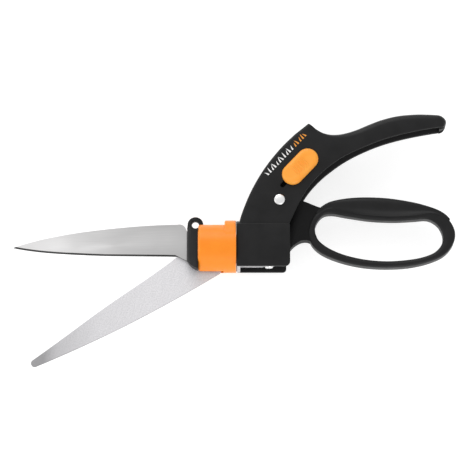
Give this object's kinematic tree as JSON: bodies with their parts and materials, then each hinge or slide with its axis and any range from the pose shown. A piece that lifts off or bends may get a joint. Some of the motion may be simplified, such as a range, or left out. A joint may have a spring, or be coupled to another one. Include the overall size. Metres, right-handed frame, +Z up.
{
  "type": "grass shears",
  "caption": "One-hand grass shears with a swivelling two-blade head, an upper handle, a squeezed finger-loop lever and a sliding thumb lock.",
  "frame": {"origin": "middle of the base, with the tool lying flat on its side", "axes": "+X along the swivel axis from the blades to the handles, +Y from the finger loop to the upper handle, +Z up"},
  "size_m": [0.3312, 0.1926, 0.0362],
  "materials": {
    "black_nylon": "moulded fine texture",
    "core_nylon": "moulded, slightly duller",
    "soft_loop": "soft overmould, satin",
    "soft_grip": "soft overmould, satin",
    "orange_plastic": "semi gloss",
    "white_nylon": "natural nylon",
    "polished_blade": "lengthwise brushed",
    "satin_blade": "fine blasted",
    "bright_steel": "turned, bright",
    "zinc_steel": "zinc plated",
    "spring_steel": "oiled spring steel",
    "brass_bush": "turned"
  },
  "bodies": {
    "handle": {"handle_body": "black_nylon", "bearing_plate": "zinc_steel", "bracket_screw": "bright_steel", "thrust_washer": "white_nylon", "pivot_rivet": "bright_steel", "rivet_washer": "zinc_steel", "return_spring": "spring_steel"},
    "lever": {"lever_core": "core_nylon", "finger_loop": "soft_loop", "loop_grip": "soft_grip", "lever_bush": "brass_bush", "fork_pins": "bright_steel"},
    "lock": {"lock_button": "orange_plastic", "lock_slider": "core_nylon", "lock_screws": "bright_steel", "detent_clip": "spring_steel"},
    "head": {"swivel_collar": "orange_plastic", "holder_near": "black_nylon", "holder_far": "black_nylon", "holder_screws": "bright_steel", "swivel_spindle": "zinc_steel", "retaining_ring": "spring_steel", "rod_guide": "white_nylon", "fixed_blade": "polished_blade", "blade_rivets": "bright_steel", "pivot_bolt": "bright_steel", "pivot_nut": "zinc_steel", "spring_washer": "spring_steel"},
    "cutting_blade": {"moving_blade": "satin_blade", "drive_pin": "bright_steel"},
    "drive_rod": {"push_rod": "zinc_steel", "drive_yoke": "zinc_steel", "yoke_pin": "spring_steel"}
  },
  "joints": [
    {"name": "lever_squeeze", "type": "hinge", "parent": "handle", "child": "lever", "pos_m": [0.0339, 0.02822, 0.0181], "axis": [0, 0, 1], "range_deg": [0, 15.46], "stiffness_Nm_per_rad": 0.5, "springref_deg": -28.65, "deforming": ["return_spring"]},
    {"name": "head_swivel", "type": "hinge", "parent": "handle", "child": "head", "pos_m": [0, -0.00658, 0.0181], "axis": [-1, 0, 0], "continuous": true},
    {"name": "blade_close", "type": "hinge", "parent": "head", "child": "cutting_blade", "pos_m": [-0.02, -0.01508, 0.0181], "axis": [0, 0, -1], "range_deg": [0, 34.1]},
    {"name": "rod_pull", "type": "slide", "parent": "head", "child": "drive_rod", "axis": [1, 0, 0], "range_m": [0, 0.0094]},
    {"name": "lock_slide", "type": "slide", "parent": "handle", "child": "lock", "axis": [-0.6871, -0.7266, 0], "range_m": [0, 0.006]}
  ],
  "couplings": [
    {"joint": "blade_close", "follows": "lever_squeeze", "ratio": 2.1992},
    {"joint": "rod_pull", "follows": "lever_squeeze", "m_per_rad": 0.034674}
  ]
}
